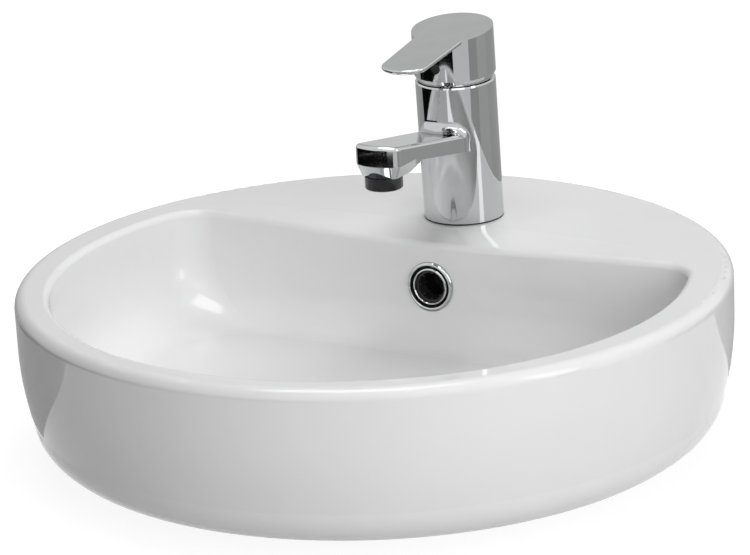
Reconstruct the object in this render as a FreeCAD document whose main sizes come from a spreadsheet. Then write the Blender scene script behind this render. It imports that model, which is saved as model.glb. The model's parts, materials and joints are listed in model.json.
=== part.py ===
import FreeCAD, Part
import math
import os
import re

import Sketcher

# Countertop basin with a single-lever mixer tap, in millimetres and degrees.
# The origin is the centre of the base ring, +Z is up and the front faces -Y.

SIZES = {
    # basin, outside
    "basin_diameter": 440,
    "basin_height": 110,
    "rim_edge_radius": 7,
    "widest_level": 83.5,
    "belly_inset": 5.4,
    "belly_level": 34.9,
    "belly_radius": 187,
    "knuckle_inset": 16.6,
    "knuckle_level": 15.1,
    "knuckle_radius": 24.6,
    "foot_radius": 152,
    "foot_sweep_radius": 375,
    "foot_ring_width": 12,
    "foot_ring_height": 12,
    "wall_thickness": 11,
    "deck_thickness": 14,
    "low_hollow_level": 45,
    "deck_hollow_setback": 6,
    # bowl
    "bowl_radius": 201,
    "bowl_offset": 7,
    "bowl_back": 75,
    "bowl_corner_radius": 20,
    "corner_softening": 0.6,
    "bowl_draft": 9,
    "back_draft": 2.5,
    "back_fillet_share": 0.6,
    "floor_level": 38,
    "floor_fillet": 42,
    "lip_radius": 4,
    "dip_depth": 5,
    "dip_reach": 24,
    "dip_half_width": 165,
    # overflow
    "overflow_drop": 33.9,
    "overflow_hole_radius": 11.4,
    "overflow_ring_radius": 16,
    "overflow_ring_height": 2.6,
    "overflow_bore_radius": 10.5,
    "overflow_collar_length": 6,
    "sleeve_wall": 1.2,
    "sleeve_length": 10,
    "channel_width": 26,
    "channel_depth": 8,
    "channel_height": 8,
    "channel_level": 18,
    "duct_wall": 3.5,
    # waste
    "drain_forward": 78,
    "waste_hole_radius": 23.2,
    "waste_boss_radius": 36,
    "waste_tube_radius": 22,
    "waste_tube_wall": 3.5,
    "waste_thread_radius": 19.5,
    "waste_thread_length": 11,
    "waste_tube_bottom": 1,
    "waste_flange_radius": 32,
    "waste_flange_thickness": 2.2,
    "waste_slot_width": 14,
    "gasket_thickness": 1,
    "lower_gasket_thickness": 3,
    "lower_gasket_radius": 33,
    "waste_nut_height": 7,
    "waste_nut_radius": 34,
    "crossbar_level": 13,
    "crossbar_thickness": 3,
    "crossbar_width": 4,
    "crossbar_hub_radius": 10,
    "clicker_radius": 6.5,
    "clicker_height": 17,
    "clicker_spigot_radius": 3,
    "plug_travel": 5.5,
    "plug_radius": 29,
    "plug_thickness": 5.5,
    "plug_edge_height": 2.2,
    "plug_seal_radius": 24,
    "plug_seal_width": 6,
    "plug_seal_thickness": 2,
    "plug_stem_radius": 3.4,
    "plug_stem_overlap": 5,
    "spring_wire_radius": 0.8,
    "spring_turns": 6,
    # tap body
    "tap_back": 123,
    "tap_rake": 3,
    "tap_radius": 25.8,
    "tap_height": 92.8,
    "tap_top_chamfer": 0.6,
    "tap_top_chamfer_height": 1,
    "tap_hole_radius": 17.5,
    "base_bore_radius": 19,
    "chamber_depth": 38.5,
    "web_thickness": 12,
    "base_gasket_thickness": 1,
    "inlet_radius": 4.3,
    "inlet_spacing": 15,
    "inlet_forward": 3,
    "outlet_radius": 4.3,
    "outlet_forward": 10.5,
    "port_radius": 3.6,
    # spout
    "spout_reach": 111.5,
    "spout_root_drop": 35.9,
    "spout_root_depth": 11.3,
    "spout_rise": 9.4,
    "spout_root_width": 33,
    "spout_tip_width": 31,
    "spout_front_radius": 26.5,
    "spout_corner_radius": 6,
    "spout_edge_radius": 2.5,
    "spout_join_radius": 6.5,
    "underside_rise": 10,
    "underside_reach": 84,
    "tip_bottom_rise": 9,
    "chin_inset": 3.4,
    "chin_height": 8,
    "tip_margin": 0.6,
    "waterway_width": 18,
    "waterway_height": 3.5,
    "waterway_floor": 1.6,
    # aerator
    "aerator_setback": 12.3,
    "aerator_radius": 11.8,
    "aerator_drop": 7.8,
    "aerator_thread_radius": 10.6,
    "aerator_thread_length": 6,
    "aerator_wall": 1.8,
    "aerator_washer_thickness": 1.2,
    "aerator_insert_height": 8,
    # cartridge, along the tap's raked axis
    "cartridge_bore_radius": 18,
    "cartridge_radius": 17.6,
    "cartridge_seal_height": 1,
    "cartridge_seal_width": 1.2,
    "cartridge_base_height": 3,
    "disc_thickness": 3,
    "fixed_disc_radius": 15.8,
    "moving_disc_radius": 11,
    "moving_disc_back": 2,
    "disc_carrier_height": 6,
    "rotor_flange_radius": 15.6,
    "rotor_flange_height": 4,
    "rotor_radius": 11.8,
    "rotor_recess": 2.5,
    "housing_cavity_radius": 16.2,
    "housing_height": 22,
    "nut_bore_radius": 20,
    "nut_hole_radius": 13,
    "nut_height": 6,
    "nut_hex_height": 4.5,
    "nut_hex_radius": 18,
    "running_clearance": 0.3,
    "rotor_slot_front": 9.5,
    "finger_play": 1.8,
    "pivot_back": 6,
    "pivot_drop": 6.5,
    "pivot_pin_radius": 1.5,
    "pivot_pin_length": 20,
    "stem_width": 8,
    "stem_eye_radius": 4,
    "stem_finger_width": 6,
    "stem_reach": 17,
    # handle
    "lever_lift": 18,
    "cap_radius": 26.2,
    "cap_gap": 0.5,
    "cap_height": 32.4,
    "cap_wall": 3.2,
    "cap_top_thickness": 6,
    "cap_chamfer": 2,
    "cap_chamfer_height": 3.7,
    "cap_front_fall": 6.5,
    "boss_width": 16,
    "boss_recess": 4,
    "paddle_reach": 76.2,
    "paddle_root_width": 35,
    "paddle_tip_width": 30.5,
    "paddle_tip_radius": 19,
    "paddle_corner_radius": 9,
    "paddle_thickness": 3,
    "paddle_edge_radius": 1.2,
    "paddle_back": 8,
    "paddle_fall": 5,
    "index_height": 12.2,
    "index_radius": 3.3,
    "index_plug_thickness": 1.6,
    "grub_radius": 2.5,
    "grub_length": 7,
    # fixing under the deck
    "stud_back": 13,
    "stud_radius": 3.9,
    "stud_thread_depth": 8,
    "stud_drop": 24,
    "horseshoe_radius": 26,
    "horseshoe_gap_radius": 14.3,
    "horseshoe_gap_forward": 7.3,
    "horseshoe_rubber_thickness": 3,
    "horseshoe_plate_thickness": 2.5,
    "stud_nut_radius": 7.5,
    "stud_nut_height": 8,
    "fit_clearance": 0.2,
}

# Values worked out from the sizes above.
WORKED = {
    "basin_radius": "basin_diameter / 2",
    "deck_underside": "basin_height - deck_thickness",
    "foot_inner_radius": "foot_radius - foot_ring_width",
    "fillet_centre_level": "floor_level + floor_fillet",
    "wall_foot_level": "fillet_centre_level - floor_fillet * sin(bowl_draft)",
    "wall_foot_inset": "(basin_height - wall_foot_level) * tan(bowl_draft)",
    "fillet_centre_inset": "wall_foot_inset + floor_fillet * cos(bowl_draft)",
    "back_foot_inset": "(basin_height - wall_foot_level) * tan(back_draft)",
    "overflow_level": "basin_height - overflow_drop",
    "overflow_wall": "bowl_back - overflow_drop * tan(back_draft)",
    "channel_front": "bowl_back + deck_hollow_setback",
    "channel_back": "channel_front + channel_depth",
    "duct_half_width": "channel_width / 2 + duct_wall",
    "duct_bottom": "channel_level - duct_wall",
    "channel_top": "channel_level + channel_height",
    "waste_tube_bore": "waste_tube_radius - waste_tube_wall",
    "flange_bottom": "floor_level - waste_flange_thickness",
    "recess_level": "flange_bottom - gasket_thickness",
    "crossbar_top": "crossbar_level + crossbar_thickness",
    "clicker_top": "crossbar_top + clicker_height",
    "lower_gasket_bottom": "duct_bottom - lower_gasket_thickness",
    "plug_seal_bottom": "floor_level + plug_travel + running_clearance",
    "plug_bottom": "plug_seal_bottom + plug_seal_thickness",
    "plug_rise": "plug_thickness - plug_edge_height",
    "spring_radius": "clicker_radius + fit_clearance + 1.5 * spring_wire_radius",
    "web_top": "tap_height - chamber_depth",
    "web_bottom": "web_top - web_thickness",
    "rotor_top": "tap_height - rotor_recess",
    "pivot_level": "tap_height - pivot_drop",
    "cap_bottom": "tap_height + cap_gap",
    "cap_top": "cap_bottom + cap_height",
    "stem_top": "cap_bottom + stem_reach",
    "boss_bottom": "cap_bottom + boss_recess",
    "index_level": "cap_bottom + index_height",
    "seal_top": "web_top + cartridge_seal_height",
    "cartridge_base_top": "seal_top + cartridge_base_height",
    "fixed_disc_top": "cartridge_base_top + disc_thickness",
    "moving_disc_top": "fixed_disc_top + disc_thickness",
    "disc_carrier_top": "moving_disc_top + disc_carrier_height",
    "rotor_bottom": "disc_carrier_top + running_clearance",
    "rotor_flange_top": "rotor_bottom + rotor_flange_height",
    "housing_ceiling": "rotor_flange_top + running_clearance",
    "housing_top": "cartridge_base_top + housing_height",
    "nut_top": "housing_top + nut_height",
    "slot_half_width": "stem_width / 2 + running_clearance",
    "cap_bore_radius": "cap_radius - cap_wall",
    "cap_ceiling": "cap_top - cap_top_thickness",
    "spout_root_level": "tap_height - spout_root_drop",
    "underside_root_level": "spout_root_level - spout_root_depth",
    "tip_bottom_level": "underside_root_level + tip_bottom_rise",
    "waterway_root_level": "underside_root_level + waterway_floor",
    "spout_front": "spout_reach + spout_front_radius"
        " - sqrt(spout_front_radius ^ 2 - (spout_tip_width / 2) ^ 2)",
    "spout_tip_level": "spout_root_level + spout_front * tan(spout_rise)",
    "aerator_forward": "spout_front - aerator_setback",
    "tip_rear": "aerator_forward - aerator_radius - tip_margin",
    "aerator_bore_top": "tip_bottom_level + aerator_thread_length + aerator_washer_thickness",
    "waterway_rise": "(spout_rise + underside_rise) / 2",
    "tap_front": "tap_back - tap_radius",
    "underside_end_level": "underside_root_level + underside_reach * tan(underside_rise)",
    "aerator_bottom": "tip_bottom_level - aerator_drop",
    "plate_bottom": "deck_underside - horseshoe_rubber_thickness - horseshoe_plate_thickness",
}

# How far a cutting form runs past the face that it opens.
PAST = 1
# Lift of the cutting form's underside over the deck, so that its roundings cross the deck.
DECK_LIFT = 0.04
# How far the bowl's form rises over the deck.
OVER_DECK = 12
# Steps across the deck in its rolled surface.
DECK_STEPS = 12
# Angles of the sections that round the bowl's floor.
FLOOR_ANGLES = ("bowl_draft", "30", "50", "70", "90")
# Ribs inside the overflow sleeve and arms of the waste's crossbar, as bars through the axis.
SLEEVE_BARS = 4
CROSSBAR_BARS = 3
SLOT_BARS = 2
# Holes of the aerator insert, from the middle ring outwards.
INSERT_HOLES = (1, 6, 12)
# Arcs in each turn of the spring.
ARCS_PER_TURN = 4

Vector = FreeCAD.Vector
X_AXIS = Vector(1, 0, 0)

doc = FreeCAD.newDocument("countertop_basin")
sheet = doc.addObject("Spreadsheet::Sheet", "sizes")
worked = doc.addObject("Spreadsheet::Sheet", "worked")
nodes = []


def link(text):
    """Put the sheet's name before each size's name."""
    def owner(match):
        word = match.group(0)
        if word in SIZES:
            return "sizes." + word
        if word in WORKED:
            return "worked." + word
        return word
    return re.sub(r"[A-Za-z_]\w*", owner, text)


def number(text):
    """The value of a formula of sizes."""
    return float(sheet.evalExpression(link(text)))


def bind(thing, prop, text):
    thing.setExpression(prop, link(text))


def fill_sheets():
    for row, (alias, value) in enumerate(SIZES.items(), 1):
        sheet.set(f"A{row}", alias)
        sheet.set(f"B{row}", str(value))
        sheet.setAlias(f"B{row}", alias)
    doc.recompute()
    for row, (alias, formula) in enumerate(WORKED.items(), 1):
        worked.set(f"A{row}", alias)
        worked.set(f"B{row}", "=" + link(formula))
        worked.setAlias(f"B{row}", alias)
    doc.recompute()


def place(thing, x="0", y="0", z="0", axis=None, angle="0"):
    """Place a thing; with an axis it is also turned about it."""
    if axis is not None:
        thing.Placement = FreeCAD.Placement(Vector(0, 0, 0), FreeCAD.Rotation(axis, number(angle)))
        bind(thing, "Placement.Rotation.Angle", angle)
    bind(thing, "Placement.Base.x", x)
    bind(thing, "Placement.Base.y", y)
    bind(thing, "Placement.Base.z", z)
    return thing


def on_tap_axis(thing):
    """Set a thing that is drawn upright at the origin on the tap's raked axis."""
    return place(thing, y="tap_back", z="basin_height", axis=X_AXIS, angle="tap_rake")


def node(thing, name):
    thing.Label = name
    nodes.append(thing)
    return thing


def arc_centre(start, end, radius):
    """Centre of an arc of under a half circle, left of its way, or right for a minus radius."""
    middle = (start + end) * 0.5
    chord = end - start
    left = Vector(-chord.y, chord.x, 0).normalize()
    rise = math.sqrt(max(radius ** 2 - (chord.Length / 2) ** 2, 0.0))
    return middle + left * math.copysign(rise, radius)


def arc_curve(start, end, radius):
    centre = arc_centre(start, end, radius)
    first, last = (start, end) if radius > 0 else (end, start)
    from_angle = math.atan2(first.y - centre.y, first.x - centre.x)
    to_angle = math.atan2(last.y - centre.y, last.x - centre.x)
    if to_angle < from_angle:
        to_angle += 2 * math.pi
    circle = Part.Circle(centre, Vector(0, 0, 1), abs(radius))
    return Part.ArcOfCircle(circle, from_angle, to_angle)


def draw(sketch, corners):
    """Draw a closed outline whose corners, and arcs after a corner, are formulas of sizes."""
    points = [Vector(number(corner[0]), number(corner[1]), 0) for corner in corners]
    radii = [corner[2] if len(corner) > 2 else None for corner in corners]
    count = len(corners)
    ends = []
    for index in range(count):
        start = points[index]
        end = points[(index + 1) % count]
        if radii[index] is None:
            sketch.addGeometry(Part.LineSegment(start, end))
            ends.append((1, 2))
            continue
        radius = number(radii[index])
        sketch.addGeometry(arc_curve(start, end, radius))
        ends.append((1, 2) if radius > 0 else (2, 1))
    for index in range(count):
        following = (index + 1) % count
        joint = Sketcher.Constraint("Coincident", index, ends[index][1], following, ends[following][0])
        sketch.addConstraint(joint)
    for index in range(count):
        for kind, axis in (("DistanceX", 0), ("DistanceY", 1)):
            value = points[index][axis]
            rule = Sketcher.Constraint(kind, -1, 1, index, ends[index][0], value)
            place_in = sketch.addConstraint(rule)
            sketch.setExpression(f"Constraints[{place_in}]", link(corners[index][axis]))
        if radii[index] is not None:
            rule = Sketcher.Constraint("Radius", index, abs(number(radii[index])))
            place_in = sketch.addConstraint(rule)
            sketch.setExpression(f"Constraints[{place_in}]", link(radii[index].lstrip("-")))


def turned(name, corners):
    """A body turned about the Z axis from an outline of radius and height."""
    body = doc.addObject("PartDesign::Body", name)
    plane = [item for item in body.Origin.OriginFeatures if item.Role == "XZ_Plane"][0]
    sketch = body.newObject("Sketcher::SketchObject", name + "_outline")
    sketch.AttachmentSupport = [(plane, "")]
    sketch.MapMode = "FlatFace"
    draw(sketch, corners)
    turn = body.newObject("PartDesign::Revolution", name + "_turn")
    turn.Profile = sketch
    turn.ReferenceAxis = (sketch, ["V_Axis"])
    turn.Angle = 360
    return body


def ring(name, inner, outer, bottom, top):
    return turned(name, [(inner, bottom), (outer, bottom), (outer, top), (inner, top)])


def flat_outline(name, corners, level="0"):
    """An outline that lies level, at a height."""
    sketch = doc.addObject("Sketcher::SketchObject", name)
    draw(sketch, corners)
    return place(sketch, z=level)


def side_outline(name, corners):
    """An outline of Y and Z in the plane of symmetry."""
    sketch = doc.addObject("Sketcher::SketchObject", name)
    sketch.Placement = FreeCAD.Placement(Vector(0, 0, 0), FreeCAD.Rotation(Vector(1, 1, 1), 120))
    draw(sketch, corners)
    return sketch


def extruded(name, outline, length, both_ways=False):
    solid = doc.addObject("Part::Extrusion", name)
    solid.Base = outline
    solid.DirMode = "Normal"
    solid.Solid = True
    solid.Symmetric = both_ways
    bind(solid, "LengthFwd", length)
    return solid


def lofted(name, sections):
    solid = doc.addObject("Part::Loft", name)
    solid.Sections = sections
    solid.Solid = True
    return solid


def cylinder(name, radius, bottom, top, x="0", y="0"):
    solid = doc.addObject("Part::Cylinder", name)
    bind(solid, "Radius", radius)
    bind(solid, "Height", f"({top}) - ({bottom})")
    return place(solid, x, y, bottom)


def hexagon(name, radius, bottom, top, x="0", y="0"):
    solid = doc.addObject("Part::Prism", name)
    solid.Polygon = 6
    bind(solid, "Circumradius", radius)
    bind(solid, "Height", f"({top}) - ({bottom})")
    return place(solid, x, y, bottom)


def box(name, x_span, y_span, z_span):
    solid = doc.addObject("Part::Box", name)
    for prop, span in (("Length", x_span), ("Width", y_span), ("Height", z_span)):
        bind(solid, prop, f"({span[1]}) - ({span[0]})")
    return place(solid, x_span[0], y_span[0], z_span[0])


def both_sides(half):
    return (f"-({half})", half)


def spokes(name, reach, width, bottom, top, count):
    """Bars through the Z axis, spread evenly round it."""
    bars = []
    for index in range(count):
        angle = 180 * index / count
        bar = box(f"{name}_{index + 1}", both_sides(reach), both_sides(f"({width}) / 2"), (bottom, top))
        x = f"-({reach}) * cos({angle}) + ({width}) / 2 * sin({angle})"
        y = f"-({reach}) * sin({angle}) - ({width}) / 2 * cos({angle})"
        bars.append(place(bar, x, y, bottom, Vector(0, 0, 1), str(angle)))
    return bars


def fused(name, *solids):
    whole = doc.addObject("Part::MultiFuse", name)
    whole.Shapes = list(solids)
    whole.Refine = True
    return whole


def fused_one(name, solid):
    """One solid that takes a place of its own over the place that it is drawn at."""
    whole = doc.addObject("Part::Compound", name)
    whole.Links = [solid]
    return whole


def shared(name, base, tool):
    part = doc.addObject("Part::Common", name)
    part.Base = base
    part.Tool = tool
    return part


def cut(name, base, *tools):
    """Cut tools from a base one after another."""
    for index, tool in enumerate(tools):
        last = index == len(tools) - 1
        left = doc.addObject("Part::Cut", name if last else f"{name}_cut_{index + 1}")
        left.Base = base
        left.Tool = tool
        base = left
    return base


def rounded(name, base, radius, chosen):
    """Round the edges of a solid that a test picks."""
    doc.recompute()
    picked = [index for index, edge in enumerate(base.Shape.Edges, 1) if chosen(edge)]
    solid = doc.addObject("Part::Fillet", name)
    solid.Base = base
    solid.Edges = [(index, number(radius), number(radius)) for index in picked]
    return solid


def bevelled(name, base, inset, height, chosen):
    """Bevel the edges of a level face that a test picks, by an inset on that face and a height."""
    doc.recompute()
    sizes = []
    for index, edge in enumerate(base.Shape.Edges, 1):
        if chosen(edge):
            first = next(face for face in base.Shape.Faces if any(edge.isSame(side) for side in face.Edges))
            level = abs(first.normalAt(0, 0).z) > 0.9
            pair = (number(inset), number(height))
            sizes.append((index, *pair) if level else (index, *pair[::-1]))
    solid = doc.addObject("Part::Chamfer", name)
    solid.Base = base
    solid.Edges = sizes
    return solid


def upright(edge):
    """An edge that runs along Z."""
    ends = [vertex.Point for vertex in edge.Vertexes]
    if len(ends) < 2:
        return False
    run = ends[1] - ends[0]
    return run.Length > 0 and abs(run.z) > 0.6 * run.Length


def dee(name, level, inset, back_inset, growth):
    """The bowl's outline at a level: a round front, a straight back and two round corners."""
    radius = f"(bowl_radius - ({inset}))"
    back = f"(bowl_back - ({back_inset}))"
    corner = f"(bowl_corner_radius + ({growth}))"
    drop = f"({back} - {corner} + bowl_offset)"
    arm = f"({radius} - {corner})"
    across = f"sqrt({arm} ^ 2 - {drop} ^ 2)"
    side_x = f"{radius} * {across} / {arm}"
    side_y = f"{radius} * {drop} / {arm} - bowl_offset"
    front = f"-bowl_offset - {radius}"
    return flat_outline(name, [
        (across, back),
        (f"-{across}", back, corner),
        (f"-{side_x}", side_y, radius),
        ("0", front, radius),
        (side_x, side_y, corner),
    ], level)


def bowl_form(name, offset):
    """The bowl as a solid, or with an offset the outside of its wall."""
    sections = [dee(f"{name}_section_0", f"basin_height + {OVER_DECK}",
                    f"-{OVER_DECK} * tan(bowl_draft) - ({offset}) / cos(bowl_draft)",
                    f"-{OVER_DECK} * tan(back_draft) - ({offset})", offset)]
    for index, angle in enumerate(FLOOR_ANGLES, 1):
        level = f"fillet_centre_level - (floor_fillet + ({offset})) * sin({angle})"
        inset = f"fillet_centre_inset - (floor_fillet + ({offset})) * cos({angle})"
        curl = f"(floor_fillet * (cos(bowl_draft) - cos({angle})))"
        back_inset = f"back_foot_inset + back_fillet_share * {curl} - ({offset})"
        growth = f"corner_softening * (wall_foot_inset + {curl}) + ({offset})"
        sections.append(dee(f"{name}_section_{index}", level, inset, back_inset, growth))
    return lofted(name, sections)


def deck_air():
    """The air over the deck; its underside rolls down to the back of the bowl, most in the middle."""
    half = number("dip_half_width")
    depth = number("dip_depth")
    reach = number("dip_reach")
    back = number("bowl_back")
    level = number("basin_height") + DECK_LIFT
    edge = number("basin_radius - rim_edge_radius") + PAST
    columns = [edge * (2 * index / DECK_STEPS - 1) for index in range(DECK_STEPS + 1)]
    rows = [-edge, -edge / 2, 0] + [back + reach * index / 2 for index in range(-4, 5)] + [edge]

    def fall(x, y):
        along = 1 + (back - y) / reach
        if abs(x) > half or not 0 < along <= 2:
            return 0
        run = along ** 2 if along < 1 else 2 * along - 1
        return depth * math.cos(math.pi / 2 * x / half) ** 2 * run

    surface = Part.BSplineSurface()
    surface.buildFromPolesMultsKnots([[Vector(x, y, level - fall(x, y)) for y in rows] for x in columns],
                                     *cubic_repeats(len(columns), len(rows)), False, False, 3, 3)
    air = doc.addObject("Part::Feature", "deck_air")
    air.Shape = surface.toShape().extrude(Vector(0, 0, OVER_DECK / 2))
    return air


def cubic_repeats(*counts):
    """How often each knot repeats, and the knots, of even cubic splines with these counts of poles."""
    repeats = [[4] + [1] * (count - 4) + [4] for count in counts]
    return repeats + [list(range(len(row))) for row in repeats]


def bowl_edge(edge):
    """An edge where the bowl's wall meets the underside of the air over the deck."""
    bounds = edge.BoundBox
    centre = edge.CenterOfMass
    lowest = number("basin_height - 3 * dip_depth")
    highest = number("basin_height") + 2 * DECK_LIFT
    inside = max(abs(centre.x), abs(centre.y)) < number("bowl_radius")
    return inside and lowest < bounds.ZMin and bounds.ZMax < highest


def bowl_cutter():
    """The bowl with its rounded lip and the roll of the deck towards it."""
    open_bowl = fused("open_bowl", bowl_form("bowl", "0"), deck_air())
    return rounded("bowl_cutter", open_bowl, "lip_radius", bowl_edge)


def on_overflow(thing):
    """Set a thing that is drawn about Z on the back wall, facing into the bowl."""
    return place(thing, y="overflow_wall", z="overflow_level", axis=X_AXIS, angle="90 - back_draft")


def basin():
    """The ceramic: outside, hollow underside, bowl, overflow duct and holes."""
    knuckle = "basin_radius - knuckle_inset"
    belly = "basin_radius - belly_inset"
    outside = turned("basin_outside", [
        ("0", "0"),
        ("foot_radius", "0", "foot_sweep_radius"),
        (knuckle, "knuckle_level", "knuckle_radius"),
        (belly, "belly_level", "belly_radius"),
        ("basin_radius", "widest_level"),
        ("basin_radius", "basin_height - rim_edge_radius", "rim_edge_radius"),
        ("basin_radius - rim_edge_radius", "basin_height"),
        ("0", "basin_height"),
    ])
    inside = turned("basin_inside", [
        ("0", f"-{PAST}"),
        ("foot_inner_radius", f"-{PAST}"),
        ("foot_inner_radius", "foot_ring_height"),
        (f"{knuckle} - 0.8 * wall_thickness", "knuckle_level + wall_thickness"),
        (f"{belly} - wall_thickness", "belly_level + 0.3 * wall_thickness"),
        ("basin_radius - wall_thickness", "widest_level"),
        ("basin_radius - wall_thickness", "deck_underside"),
        ("0", "deck_underside"),
    ])
    low = cylinder("low_hollow", "basin_radius", f"-2 * {PAST}", "low_hollow_level")
    back = box("deck_hollow", both_sides("basin_radius"),
               ("bowl_back + deck_hollow_setback", "basin_radius"), ("floor_level", "basin_height"))
    room = shared("hollow_room", inside, fused("hollow_reach", low, back))
    hollow = cut("hollow", room, bowl_form("bowl_wall", "wall_thickness"))
    shell = cut("shell", outside, hollow)

    duct_x = both_sides("duct_half_width")
    channel_x = both_sides("channel_width / 2")
    riser = box("duct_riser", duct_x, ("overflow_wall", "channel_back + duct_wall"),
                ("duct_bottom", f"deck_underside + {PAST}"))
    run = box("duct_run", duct_x, ("-drain_forward", "channel_back + duct_wall"),
              ("duct_bottom", "floor_level - waste_flange_thickness"))
    boss = cylinder("waste_boss", "waste_boss_radius", "duct_bottom", "recess_level",
                    y="-drain_forward")
    clay = fused("clay", shell, riser, run, boss)

    overflow_hole = turned("overflow_hole", [
        ("0", "-channel_front"),
        ("overflow_hole_radius", "-channel_front"),
        ("overflow_hole_radius", "0"),
        ("overflow_ring_radius + fit_clearance", "0"),
        ("overflow_ring_radius + fit_clearance", "overflow_ring_radius"),
        ("0", "overflow_ring_radius"),
    ])
    overflow_hole = shared("overflow_reach", on_overflow(overflow_hole), box(
        "overflow_limit", both_sides("basin_radius"), ("0", "channel_front + channel_depth / 2"),
        ("0", "basin_height + overflow_ring_radius")))
    riser_channel = box("riser_channel", channel_x, ("channel_front", "channel_back"),
                        ("channel_level", "overflow_level + overflow_hole_radius + duct_wall / 2"))
    run_channel = box("run_channel", channel_x, ("-drain_forward", "channel_back"),
                      ("channel_level", "channel_top"))
    waste_hole = cylinder("waste_hole", "waste_hole_radius", "0", "basin_height", y="-drain_forward")
    recess = cylinder("waste_recess", "waste_flange_radius + fit_clearance", "recess_level",
                      "basin_height", y="-drain_forward")
    tap_hole = cylinder("tap_hole", "tap_hole_radius", "deck_underside - deck_thickness",
                        f"basin_height + {PAST}", y="tap_back")
    solid = cut("basin", clay, bowl_cutter(), overflow_hole, riser_channel, run_channel, waste_hole,
                recess, tap_hole)
    return node(solid, "basin")


def overflow():
    """The chrome ring in the overflow hole and the ribbed sleeve behind it."""
    crest = "overflow_ring_height"
    flange = turned("overflow_ring", [
        ("overflow_bore_radius", "-overflow_collar_length"),
        ("overflow_hole_radius - fit_clearance", "-overflow_collar_length"),
        ("overflow_hole_radius - fit_clearance", "0"),
        ("overflow_ring_radius", "0", f"0.8 * {crest}"),
        (f"overflow_ring_radius - 0.55 * {crest}", crest, f"0.8 * {crest}"),
        (f"overflow_ring_radius - 1.1 * {crest}", f"0.45 * {crest}"),
        (f"overflow_bore_radius + 0.7 * {crest}", f"0.45 * {crest}", f"0.6 * {crest}"),
        (f"overflow_bore_radius + 0.2 * {crest}", f"0.9 * {crest}", f"0.6 * {crest}"),
        ("overflow_bore_radius", f"0.5 * {crest}"),
    ])
    node(on_overflow(flange), "overflow_ring")
    outer = "overflow_bore_radius - fit_clearance"
    bore = f"{outer} - sleeve_wall"
    tube = ring("sleeve_tube", bore, outer, "-sleeve_length", "0")
    ribs = spokes("sleeve_rib", f"{outer} - sleeve_wall / 2", "sleeve_wall",
                  "-sleeve_length", "-sleeve_wall", SLEEVE_BARS)
    clear = cylinder("sleeve_clear", f"{bore} - sleeve_wall", "-2 * sleeve_length", "sleeve_length")
    sleeve = cut("overflow_sleeve", fused("ribbed_tube", tube, *ribs), clear)
    node(on_overflow(sleeve), "overflow_sleeve")


def on_drain(thing):
    return place(thing, y="-drain_forward")


def waste():
    """The waste outlet under the bowl's floor, clamped through it by a nut."""
    bore = "waste_tube_bore"
    thread_top = "waste_tube_bottom + waste_thread_length"
    tube = turned("waste_tube", [
        (bore, thread_top),
        ("waste_thread_radius", thread_top),
        ("waste_thread_radius", "waste_tube_bottom"),
        ("waste_tube_radius", "waste_tube_bottom"),
        ("waste_tube_radius", "flange_bottom"),
        ("waste_flange_radius", "flange_bottom"),
        ("waste_flange_radius", "floor_level - waste_flange_thickness / 2"),
        ("waste_flange_radius - waste_flange_thickness", "floor_level"),
        ("waste_tube_radius", "floor_level"),
        (bore, "flange_bottom"),
    ])
    arms = spokes("crossbar", f"{bore} + waste_tube_wall / 2", "crossbar_width",
                  "crossbar_level", "crossbar_top", CROSSBAR_BARS)
    hub = cylinder("crossbar_hub", "crossbar_hub_radius", "crossbar_level", "crossbar_top")
    spigot_hole = cylinder("spigot_hole", "clicker_spigot_radius", "0", "floor_level")
    slots = spokes("waste_slot", "waste_flange_radius", "waste_slot_width",
                   "channel_level", "channel_top", SLOT_BARS)
    body = cut("waste_body", fused("waste_frame", tube, hub, *arms), spigot_hole, *slots)
    node(on_drain(body), "waste_body")

    snug = "waste_tube_radius + fit_clearance"
    node(on_drain(ring("waste_top_gasket", snug, "waste_flange_radius", "recess_level",
                       "flange_bottom")), "waste_top_gasket")
    node(on_drain(ring("waste_lower_gasket", snug, "lower_gasket_radius", "lower_gasket_bottom",
                       "duct_bottom")), "waste_lower_gasket")
    nut = cut("waste_nut",
              hexagon("waste_nut_blank", "waste_nut_radius",
                      "lower_gasket_bottom - waste_nut_height", "lower_gasket_bottom"),
              cylinder("waste_nut_hole", snug, "0", "floor_level"))
    node(on_drain(nut), "waste_nut")

    stem_bore = "plug_stem_radius + fit_clearance"
    bore_floor = f"clicker_top - plug_travel - plug_stem_overlap - {PAST}"
    spigot = "clicker_spigot_radius - fit_clearance"
    clicker = turned("clicker_housing", [
        ("0", "crossbar_level"),
        (spigot, "crossbar_level"),
        (spigot, "crossbar_top"),
        ("clicker_radius", "crossbar_top"),
        ("clicker_radius", "clicker_top"),
        (stem_bore, "clicker_top"),
        (stem_bore, bore_floor),
        ("0", bore_floor),
    ])
    node(on_drain(clicker), "clicker_housing")


def plug():
    """The push plug of the waste, shown open, with its spring."""
    top = turned("waste_plug", [
        ("0", "plug_bottom"),
        ("plug_radius", "plug_bottom"),
        ("plug_radius", "plug_bottom + plug_edge_height",
         "(plug_radius ^ 2 + plug_rise ^ 2) / (2 * plug_rise)"),
        ("0", "plug_bottom + plug_thickness"),
    ])
    node(on_drain(top), "waste_plug")
    node(on_drain(ring("plug_seal", "plug_seal_radius - plug_seal_width", "plug_seal_radius",
                       "plug_seal_bottom", "plug_bottom")), "plug_seal")
    node(cylinder("plug_stem", "plug_stem_radius", "clicker_top - plug_stem_overlap", "plug_bottom",
                  y="-drain_forward"), "plug_stem")
    node(spring(), "plug_spring")


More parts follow.
